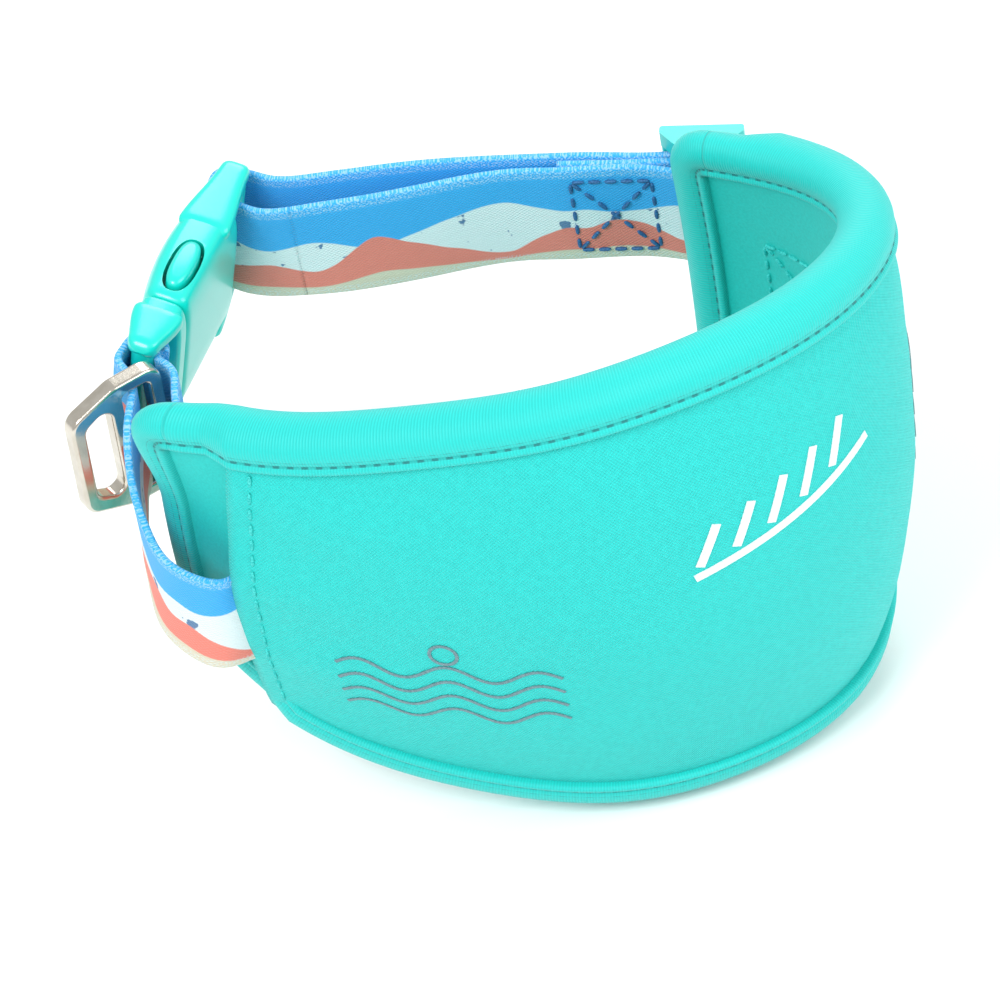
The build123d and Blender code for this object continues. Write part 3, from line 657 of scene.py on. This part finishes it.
# ---------------------------------------------------------------------------
# Strap
# ---------------------------------------------------------------------------
ROLL = math.radians(12)
B_ALONG = np.array([*heading(70), 0])
B_IN = np.array([B_ALONG[1] * math.cos(ROLL), -B_ALONG[0] * math.cos(ROLL), -math.sin(ROLL)])
B_UP = np.cross(B_IN, B_ALONG)
B_AT = np.array([-51.5, 24.0, 0])
UP = np.array([0.0, 0.0, 1.0])


def at_buckle(along, outwards, up=0.0):
    return B_AT + B_ALONG * along - B_IN * outwards + B_UP * up


SLIDE = heading(175.5)
SLIDER_AT = np.array([40.0, 39.9])


def at_slider(along, outwards, h=0.0):
    p = SLIDER_AT + SLIDE * along + np.array([SLIDE[1], -SLIDE[0]]) * outwards
    return np.array([*p, h])


def joined(*runs):
    """Runs of points end to end, without the doubled points."""
    return np.concatenate([runs[0]] + [r[1:] for r in runs[1:]])


def strap_in_tunnel():
    s = np.linspace(76, -SEAM, 90)
    middle = -15.0 + 11.0 * (s + SEAM) / (2 * SEAM)
    centre = on_panel(s, -0.15, middle)
    above = on_panel(s, -0.15, middle + 1)
    return centre, unit(above - centre)


tunnel, tunnel_up = strap_in_tunnel()
bow = Curve(
    [
        tunnel[-1],
        (-45.2, -30.6, -14.3),
        (-50.0, -30.2, -12.6),
        (-54.0, -27.2, -10.2),
        (-56.4, -22.2, -7.2),
        (-57.6, -17.0, -4.2),
        (-58.0, -12.0, -1.6),
        (-57.9, -7.6, 0.0),
        (-57.6, -1.8, 0.0),
        (-58.9, 1.6, 0.1),
        at_buckle(-20.9, 3.1),
        at_buckle(-17.8, 3.2),
    ],
    tunnel[-1] - tunnel[-2],
    (*heading(70), 0),
).even(0.8)
turn = np.linspace(90, -90, 19)[:, None] * math.pi / 180
male_loop = at_buckle(-17.5, 0) + 3.1 * (np.cos(turn) * B_ALONG - np.sin(turn) * B_IN)
sewn_at = np.array([0.5, 4.0, 7.5, 11.0]) - HALF
pad_end = on_panel(sewn_at, np.array([-8.1, -7.7, -7.4, -7.2]), 0 * sewn_at)
inner = Curve(
    [male_loop[-1], (-51.9, 2.6, -0.3), (-50.8, -2.4, 0), (-50.2, -7.6, 0), *pad_end],
    (*heading(250), 0),
    (*along_out(np.array([11.0 - HALF]))[0][0], 0),
).even(0.8)
bow_share = np.linspace(0, 1, len(bow))[:, None]
bow_up = unit(tunnel_up[-1] * (1 - smooth(bow_share / 0.4)) + UP * smooth(bow_share / 0.4))
bow_up = unit(bow_up + (B_UP - UP) * smooth((bow_share - 0.75) / 0.25))
inner_share = np.linspace(0, 1, len(inner))[:, None]
inner_up = unit(B_UP * (1 - smooth(inner_share / 0.2)) + UP * smooth(inner_share / 0.2))
front_strap = ribbon(
    "strap_front",
    joined(tunnel, bow, male_loop, inner),
    joined(tunnel_up, bow_up, np.repeat(B_UP[None], len(male_loop), axis=0), inner_up),
    webbing,
)
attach(front_strap, "collar")
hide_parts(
    "strap_tunnel_run",
    "strap_bow",
    "strap_male_outer",
    "strap_male_loop",
    "strap_male_inner",
)

lead_from = on_panel(np.array([76.0, SEAM + 0.3]), 0.1, np.array([-4.2, -4.0]))
wrap_turn = np.linspace(-90, 90, 15) * math.pi / 180
bar = 7.75 - 1.25 + 0.7
wrap = np.array([at_slider(bar - 1.6 * math.cos(a), -3.05 + 1.6 * math.sin(a)) for a in wrap_turn])
slide_way = np.array([*SLIDE, 0])
INNER_END = (-33.0, 36.9)  # where the strap leaves the buckle on its inner side
BACK_STEP = 0.7
back_path = Curve(
    [
        lead_from[1],
        (44.6, 31.6, -2.4),
        (43.2, 35.6, -1.0),
        at_slider(0, 0),
        at_slider(12, 0),
        at_slider(24, 0),
        at_slider(36, 0),
        (-14.0, 43.6, -0.3),
        (-30.0, 43.8, -1.4),
        at_buckle(23.6, -5.0),
        at_buckle(23.25, -0.2),
        at_buckle(22.35, 2.35),
        at_buckle(20.0, 3.35),
        at_buckle(17.7, 2.35),
        at_buckle(16.7, -0.4),
        at_buckle(16.3, -5.0),
        (*INNER_END, -1.4),
        (-14.0, 38.0, -0.4),
        at_slider(37.4, -3.2),
        at_slider(31, -3.2),
        at_slider(16, -3.2),
        wrap[0],
    ],
    lead_from[1] - lead_from[0],
    -slide_way,
).even(BACK_STEP)
turned_at = np.nonzero(back_path[:, 0] < INNER_END[0])[0].max()
back_outer, inner_back = back_path[: turned_at + 1], back_path[turned_at:]


def leaning(path):
    """The strap's up directions along path: upright, then leaning as the buckle does."""
    lean = smooth((-26 - path[:, 0]) / 16)[:, None]
    return unit(UP * (1 - lean) + B_UP * lean)


back_strap = ribbon("strap_back", back_outer, leaning(back_outer), webbing)
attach(back_strap, "collar")
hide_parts("strap_right_lead", "strap_back_outer", "strap_female_loop")

tail = Curve([wrap[-1], at_slider(16, -1.75), at_slider(31, -1.75)], slide_way, slide_way).even(0.8)
inner_path = joined(inner_back, wrap, tail)
inner_strap = ribbon("strap_inner", inner_path, leaning(inner_path), webbing, start=BACK_STEP * turned_at)
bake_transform(inner_strap)
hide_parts("strap_back_inner", "strap_sewn_end")


# ---------------------------------------------------------------------------
# Thread
# ---------------------------------------------------------------------------
def beads(name, stitches, nodes, body, material=thread):
    """Short rounded stitches. Each is (centre, direction, length)."""
    verts, faces = [], []
    levels, sides, radius = 7, 8, 0.34
    for centre, way, size in stitches:
        way = unit(way)
        side = unit(np.cross(way, UP if abs(way[2]) < 0.9 else (1.0, 0.0, 0.0)))
        rise = np.cross(side, way)
        start = len(verts)
        for i in range(levels):
            a = math.pi * (i + 0.5) / levels
            for j in range(sides):
                b = 2 * math.pi * j / sides
                ring = side * math.cos(b) + rise * math.sin(b)
                reach = way * size / 2 * math.cos(a)
                verts.append(place(centre + reach + ring * radius * math.sin(a) ** 0.5))
        for i in range(levels - 1):
            low, high = start + i * sides, start + (i + 1) * sides
            for j in range(sides):
                k = (j + 1) % sides
                faces.append((low + j, low + k, high + k, high + j))
        faces.append(tuple(start + j for j in range(sides)))
        faces.append(tuple(high + j for j in range(sides))[::-1])
    obj = make_object(name, verts, faces, np.zeros((len(verts), 2)), material)
    outward(obj)
    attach(obj, body)
    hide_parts(*nodes)


def spread(start, end, pitch):
    """The middles of the stitches between two points, and the whole way from one to the other."""
    start, end = np.array(start, float), np.array(end, float)
    count = max(int(np.linalg.norm(end - start) / pitch), 1)
    return [start + (end - start) * (i + 0.5) / count for i in range(count)], end - start


def panel_stitches(start, end, pitch, c):
    """Stitches on the panel, at c outwards, which is worked out from (s, h)."""
    places, run = spread(start, end, pitch)
    step = run / np.linalg.norm(run) * 0.5
    found = []
    for s, h in places:
        a = on_panel(np.array([s - step[0]]), c(s, h), np.array([h - step[1]]))[0]
        b = on_panel(np.array([s + step[0]]), c(s, h), np.array([h + step[1]]))[0]
        found.append(((a + b) / 2, b - a, pitch * STITCH_SHARE))
    return found


def box_stitches(corners, run, pitch):
    """A box and its two diagonals. run makes the stitches of one line."""
    found = []
    for i in range(4):
        found += run(corners[i], corners[(i + 1) % 4], pitch)
    return found + run(corners[0], corners[2], pitch) + run(corners[1], corners[3], pitch)


def on_cover(s, h):
    return cover_face(s, h) + cover_relief(s, h) + 0.12


# The left seam slants outwards towards its foot, and the right one is upright
for side, name in ((-1, "left"), (1, "right")):
    at = side * (SEAM - 3.2)
    foot = at - (2.8 if side < 0 else 0)
    beads(
        f"stitches_{name}",
        panel_stitches((foot, bottom_of(foot) + 8), (at, top_of(at) - 8), 3.0, on_cover),
        [f"thread_seam_{name}"],
        "collar",
    )
pad_corners = [(66, -11.5), (82, -11.5), (82, 3.5), (66, 3.5)]
beads(
    "stitches_pad_box",
    box_stitches(pad_corners, lambda a, b, p: panel_stitches(a, b, p, lambda s, h: -5.3), 2.6),
    ["thread_pad_box"],
    "collar",
)


def slider_stitches(start, end, pitch):
    """Stitches on the inner face of the strap that is sewn to the slider."""
    places, run = spread(start, end, pitch)
    way = unit(slide_way * run[0] + UP * run[1])
    return [(at_slider(x, -3.95, h), way, pitch * STITCH_SHARE) for x, h in places]


beads(
    "stitches_strap_box",
    box_stitches([(16, -7.5), (29, -7.5), (29, 7.5), (16, 7.5)], slider_stitches, 2.6),
    ["thread_strap_box"],
    "slider",
    blue_thread,
)


# ---------------------------------------------------------------------------
# Reflective prints: plain designs of lines and bars
# ---------------------------------------------------------------------------
def printed(name, lines, width, film, node):
    """Thin raised lines on the cover, each a row of (s, h) points."""
    foot, face = 0.02, 0.16  # the film's lower and upper face over the cloth
    verts, faces, uvs = [], [], []
    for line in lines:
        line = np.array(line, float)
        fine = []
        for a, b in zip(line[:-1], line[1:]):
            count = max(int(np.linalg.norm(b - a) / 1.5), 1)
            fine += [a + (b - a) * k / count for k in range(count)]
        fine = np.array(fine + [line[-1]])
        way = unit(np.gradient(fine, axis=0))
        across = np.stack([-way[:, 1], way[:, 0]], axis=1) * width / 2
        rings = []
        for offset, lift in ((1, foot), (1, face), (-1, face), (-1, foot)):
            s, h = (fine + across * offset).T
            rings.append(on_panel(s, cover_face(s, h) + cover_relief(s, h) + lift, h))
        rings = np.stack(rings, axis=1)
        start = len(verts)
        verts += list(place(rings.reshape(-1, 3)))
        uvs += [(0, 0)] * (4 * len(fine))
        for i in range(len(fine) - 1):
            low, high = start + 4 * i, start + 4 * i + 4
            for j in range(4):
                k = (j + 1) % 4
                faces.append((low + j, low + k, high + k, high + j))
        faces.append(tuple(start + j for j in range(4))[::-1])
        faces.append(tuple(start + 4 * (len(fine) - 1) + j for j in range(4)))
    obj = make_object(name, verts, faces, uvs, film)
    outward(obj)
    obj.data.polygons.foreach_set("use_smooth", [False] * len(obj.data.polygons))
    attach(obj, "collar")
    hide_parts(node)


def ripple(start, end, level, height, waves):
    x = np.linspace(start, end, 60)
    share = (x - start) / (end - start)
    return np.column_stack([x, level + height * np.sin(share * waves * 2 * math.pi)])


def circle(s, h, radius):
    a = np.linspace(0, 2 * math.pi, 25)
    return np.column_stack([s + radius * np.cos(a), h + radius * np.sin(a)])


printed(
    "print_left",
    [ripple(-66, -30, -30 + 3.6 * k, 1.6, 2.5) for k in range(4)] + [circle(-48, -14.6, 2.2)],
    0.55,
    grey_film,
    "reflective_left",
)
printed(
    "print_centre",
    [[(-7 + 6 * k, 0.8 + 1.6 * k), (-3.5 + 6 * k, 8.4 + 1.6 * k)] for k in range(5)]
    + [[(-8, -1.4), (25, 7.0)]],
    1.5,
    white_film,
    "reflective_centre",
)
printed(
    "print_right",
    [[(46, -26 + 5 * k), (55, -22 + 5 * k), (64, -26 + 5 * k)] for k in range(6)],
    0.7,
    grey_film,
    "reflective_right",
)

# ---------------------------------------------------------------------------
# Buckle: rounded shells in its own frame (along, outwards, up)
# ---------------------------------------------------------------------------
def moulded(name, rings):
    """Closed shell over rings of (along, outwards, up) points."""
    world = B_AT + rings[..., :1] * B_ALONG - rings[..., 1:2] * B_IN + rings[..., 2:] * B_UP
    return tube(name, world, buckle_plastic)


def pebble(start, end, half_up, outer, inner, centre=0.0, square=0.55, round_end=1.4, rows=26):
    """Rings of a rounded bar. half_up, outer and inner give its half sizes at share t of its length."""
    a = np.linspace(0, 2 * math.pi, 41)[:-1]
    across = np.sign(np.cos(a)) * np.abs(np.cos(a)) ** square
    tall = np.sign(np.sin(a)) * np.abs(np.sin(a)) ** square
    rings = []
    for x in start + (end - start) * (0.5 - 0.5 * np.cos(np.linspace(0, math.pi, rows))):
        t = (x - start) / (end - start)
        gap = min(x - start, end - x)
        shrink = round_end * (1 - math.sqrt(max(1 - max(1 - gap / round_end, 0) ** 2, 0.0)))
        up = max(half_up(t) - shrink, 0.15)
        thick = np.where(across > 0, max(outer(t) - shrink, 0.15), max(inner(t) - shrink, 0.15))
        rings.append(np.column_stack([np.full(40, x), across * thick, centre + tall * up]))
    return np.array(rings)


def crown(t):
    return 1 - (2 * t - 1) ** 2


def joined_up(name, shells):
    """Several shells as one object."""
    bpy.ops.object.select_all(action="DESELECT")
    for other in shells[1:]:
        other.select_set(True)
    shells[0].select_set(True)
    bpy.context.view_layer.objects.active = shells[0]
    bpy.ops.object.join()
    shells[0].name = name
    shells[0].select_set(False)
    return shells[0]


def stadium(low, high, half_long, half_thick, dome, centre):
    """Rings of an oval post standing along the buckle's width, with a domed end."""
    a = np.linspace(0, 2 * math.pi, 33)[:-1]
    sign = 1 if high > low else -1
    levels = [(low, 0.0)]
    for b in np.linspace(0, 1.5, 7):
        levels.append((high - sign * dome * (1 - math.sin(b)), 1 - math.cos(b)))
    rings = []
    for up, shrink in levels:
        x = centre + np.sign(np.cos(a)) * np.abs(np.cos(a)) ** 0.8 * (half_long - shrink * dome * 1.6)
        z = np.sign(np.sin(a)) * np.abs(np.sin(a)) ** 0.8 * (half_thick - shrink * dome * 0.8)
        rings.append(np.column_stack([x, z, np.full(32, up)]))
    return np.array(rings)


def cut(obj, *cutters):
    """Takes the cutters out of obj for good."""
    for cutter in cutters:
        modifier = obj.modifiers.new("cut", "BOOLEAN")
        modifier.operation = "DIFFERENCE"
        modifier.solver = "EXACT"
        modifier.object = cutter
    bpy.context.view_layer.update()
    solid = bpy.data.meshes.new_from_object(obj.evaluated_get(bpy.context.evaluated_depsgraph_get()))
    obj.modifiers.clear()
    obj.data = solid
    for cutter in cutters:
        bpy.data.objects.remove(cutter)


def shade_by_angle(obj, angle=38):
    """Keeps edges sharper than this crisp."""
    work = bmesh.new()
    work.from_mesh(obj.data)
    for edge in work.edges:
        edge.smooth = not edge.is_manifold or edge.calc_face_angle(0) < math.radians(angle)
    work.to_mesh(obj.data)
    work.free()


body = moulded(
    "female_body",
    pebble(
        -9.5,
        13.0,
        lambda t: 13.3 - 0.5 * t**4,
        lambda t: 4.1 + 1.5 * crown(t),
        lambda t: 4.1,
        square=0.42,
    ),
)
cut(
    body,
    moulded("window_up", stadium(9.2, 16, 5.7, 2.5, 0.01, -2.0)),
    moulded("window_down", stadium(-9.2, -16, 5.7, 2.5, 0.01, -2.0)),
)
cheeks = [
    moulded(
        f"female_cheek{side}",
        pebble(
            6.5,
            22.6,
            lambda t: 1.45,
            lambda t: 4.75 - 2.3 * smooth(t * 1.05),
            lambda t: 4.0 - 1.7 * smooth(t * 1.05),
            centre=side * 11.85,
            square=0.6,
            round_end=2.0,
        ),
    )
    for side in (-1, 1)
]


def crossbar(name, at, half_along, half_out):
    """The round bar that the strap turns on, from cheek to cheek."""
    a = np.linspace(0, 2 * math.pi, 25)[:-1]
    ring = np.column_stack([at + half_along * np.cos(a), half_out * np.sin(a), 0 * a])
    return moulded(name, np.array([ring + (0, 0, up) for up in np.linspace(-11.5, 11.5, 6)]))


female = joined_up("buckle_rear_half", [body, *cheeks, crossbar("female_bar", 20.0, 2.1, 2.1)])
nose = moulded(
    "male_plate",
    pebble(-12.9, -9.75, lambda t: 13.4, lambda t: 4.3, lambda t: 4.1, square=0.42, round_end=0.7),
)
nose_cheeks = [
    moulded(
        f"male_cheek{side}",
        pebble(
            -20.6,
            -10.6,
            lambda t: 1.65,
            lambda t: 2.5 + 1.75 * smooth(t * 1.2),
            lambda t: 2.3 + 1.7 * smooth(t * 1.2),
            centre=side * 11.85,
            square=0.6,
            round_end=1.9,
        ),
    )
    for side in (-1, 1)
]
tongue = moulded("male_tongue", pebble(-10.5, 9.0, lambda t: 2.8, lambda t: 1.3, lambda t: 1.3, rows=8))
male = joined_up("buckle_front_half", [nose, *nose_cheeks, tongue, crossbar("male_bar", -17.9, 2.5, 2.1)])
for half, node in ((female, "buckle_female"), (male, "buckle_male")):
    shade_by_angle(half)
    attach(half, "collar")
    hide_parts(node)
for side, name, node in ((1, "prong_up", "prong_upper"), (-1, "prong_low", "prong_lower")):
    arm = np.linspace(0, 1, 12)
    x, up = -3 + 11.5 * arm, side * (10.4 - 4.9 * smooth(arm))
    corners = np.array([(1.6, 0.8), (1.6, -0.8), (-1.6, -0.8), (-1.6, 0.8)])
    rings = [np.column_stack([np.full(4, a), corners[:, 0], b + corners[:, 1]]) for a, b in zip(x, up)]
    button = moulded(f"{name}_button", stadium(side * 9.0, side * 14.3, 5.0, 1.95, 1.1, -2.0))
    button = joined_up(f"{name}_visual", [button, moulded(f"{name}_arm", np.array(rings))])
    shade_by_angle(button, 50)
    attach(button, name)
    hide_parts(node)

# ---------------------------------------------------------------------------
# Carried pieces
# ---------------------------------------------------------------------------
for node, material in (("tri_glide", slider_plastic), ("d_ring", nickel)):
    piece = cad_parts[node]
    piece.data.materials.clear()
    piece.data.materials.append(material)

# ---------------------------------------------------------------------------
# Stage, light and camera
# ---------------------------------------------------------------------------
floor_mesh = bpy.data.meshes.new("floor")
floor_mesh.from_pydata([(-6, -6, 0), (6, -6, 0), (6, 6, 0), (-6, 6, 0)], [], [(0, 1, 2, 3)])
floor_mesh.materials.append(floor_paint())
floor = bpy.data.objects.new("floor", floor_mesh)
bpy.context.scene.collection.objects.link(floor)
floor.location.z = -0.0006
bpy.context.scene.view_settings.view_transform = "Standard"

world = bpy.data.worlds.new("world")
bpy.context.scene.world = world
world.use_nodes = True
world.node_tree.nodes["Background"].inputs[0].default_value = (1, 1, 1, 1)
world.node_tree.nodes["Background"].inputs[1].default_value = 0.7


def area_light(name, position, size, power):
    data = bpy.data.lights.new(name, "AREA")
    data.shape = "DISK"
    data.size = size
    data.energy = power
    obj = bpy.data.objects.new(name, data)
    obj.location = position
    obj.rotation_euler = (Vector((0, 0, 0.06)) - Vector(position)).to_track_quat("-Z", "Y").to_euler()
    bpy.context.scene.collection.objects.link(obj)


area_light("key", (-0.35, -0.55, 0.85), 0.5, 7.5)
area_light("fill", (0.6, -0.2, 0.5), 0.6, 3)
area_light("rim", (0.1, 0.7, 0.6), 0.5, 3)

camera_data = bpy.data.cameras.new("camera")
camera_data.lens = 429.4
camera_data.sensor_width = 36
camera_data.clip_start = 0.05
camera = bpy.data.objects.new("camera", camera_data)
turned = Matrix(
    (
        (0.99256, 0.07766, 0.09379),
        (0.00933, 0.71947, -0.69447),
        (-0.12141, 0.69017, 0.71339),
    )
)
camera.matrix_world = turned.to_4x4()
camera.location = place((172.7, -1306.5, 1318.5))
bpy.context.scene.collection.objects.link(camera)
bpy.context.scene.camera = camera
